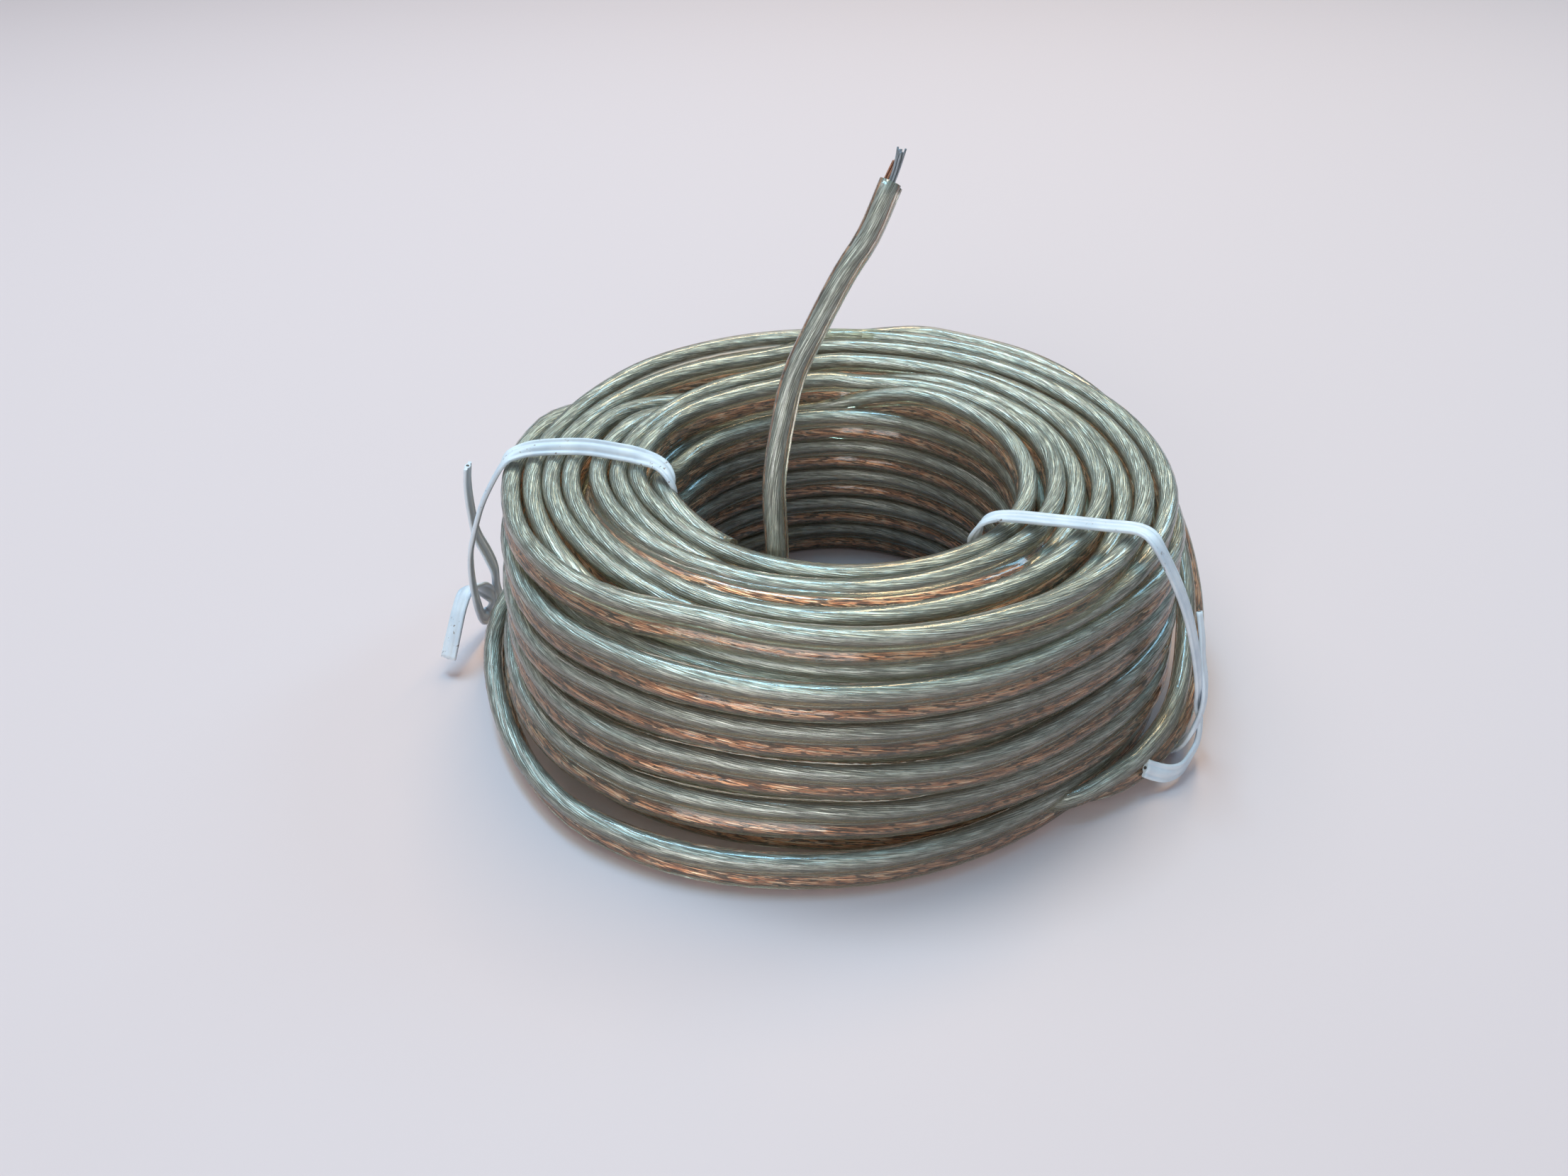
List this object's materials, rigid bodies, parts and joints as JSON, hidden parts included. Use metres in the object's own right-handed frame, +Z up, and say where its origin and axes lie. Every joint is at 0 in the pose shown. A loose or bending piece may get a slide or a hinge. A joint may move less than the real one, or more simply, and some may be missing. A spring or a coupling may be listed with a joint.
{
  "type": "tied cable coil",
  "caption": "Coil of clear flat twin cable, wound layer on layer and tied across twice, with a stripped end standing up out of its open eye.",
  "frame": {"origin": "middle of the bounding box, on the plane that the coil rests on", "axes": "+Z up along the coil's axis; -Y towards the viewer; +X to the right"},
  "size_m": [0.1058, 0.093, 0.0706],
  "materials": {
    "clear_jacket": "clear, faintly yellow-green soft plastic through which the stranded conductors show",
    "inner_turns": "the same clear jacket, darker between the turns",
    "tinned_wire": "bright tinned strands",
    "copper_wire": "bare copper strands with brown tarnish",
    "tie_plastic": "bluish-white soft plastic strip",
    "tie_wire": "dull cut steel wire"
  },
  "bodies": {
    "root": {"core_ring": "inner_turns", "winding": "clear_jacket", "free_end": "clear_jacket", "tinned_strand_1": "tinned_wire", "tinned_strand_2": "tinned_wire", "tinned_strand_3": "tinned_wire", "tinned_strand_4": "tinned_wire", "tinned_strand_5": "tinned_wire", "tinned_strand_6": "tinned_wire", "tinned_strand_7": "tinned_wire", "copper_strand_1": "copper_wire", "copper_strand_2": "copper_wire", "copper_strand_3": "copper_wire", "copper_strand_4": "copper_wire", "copper_strand_5": "copper_wire", "copper_strand_6": "copper_wire", "copper_strand_7": "copper_wire", "tip_conductor_tinned": "tinned_wire", "tip_conductor_copper": "copper_wire", "left_tie_strip": "tie_plastic", "left_tie_wire": "tie_wire", "right_tie_strip": "tie_plastic", "right_tie_wire": "tie_wire"}
  },
  "joints": []
}
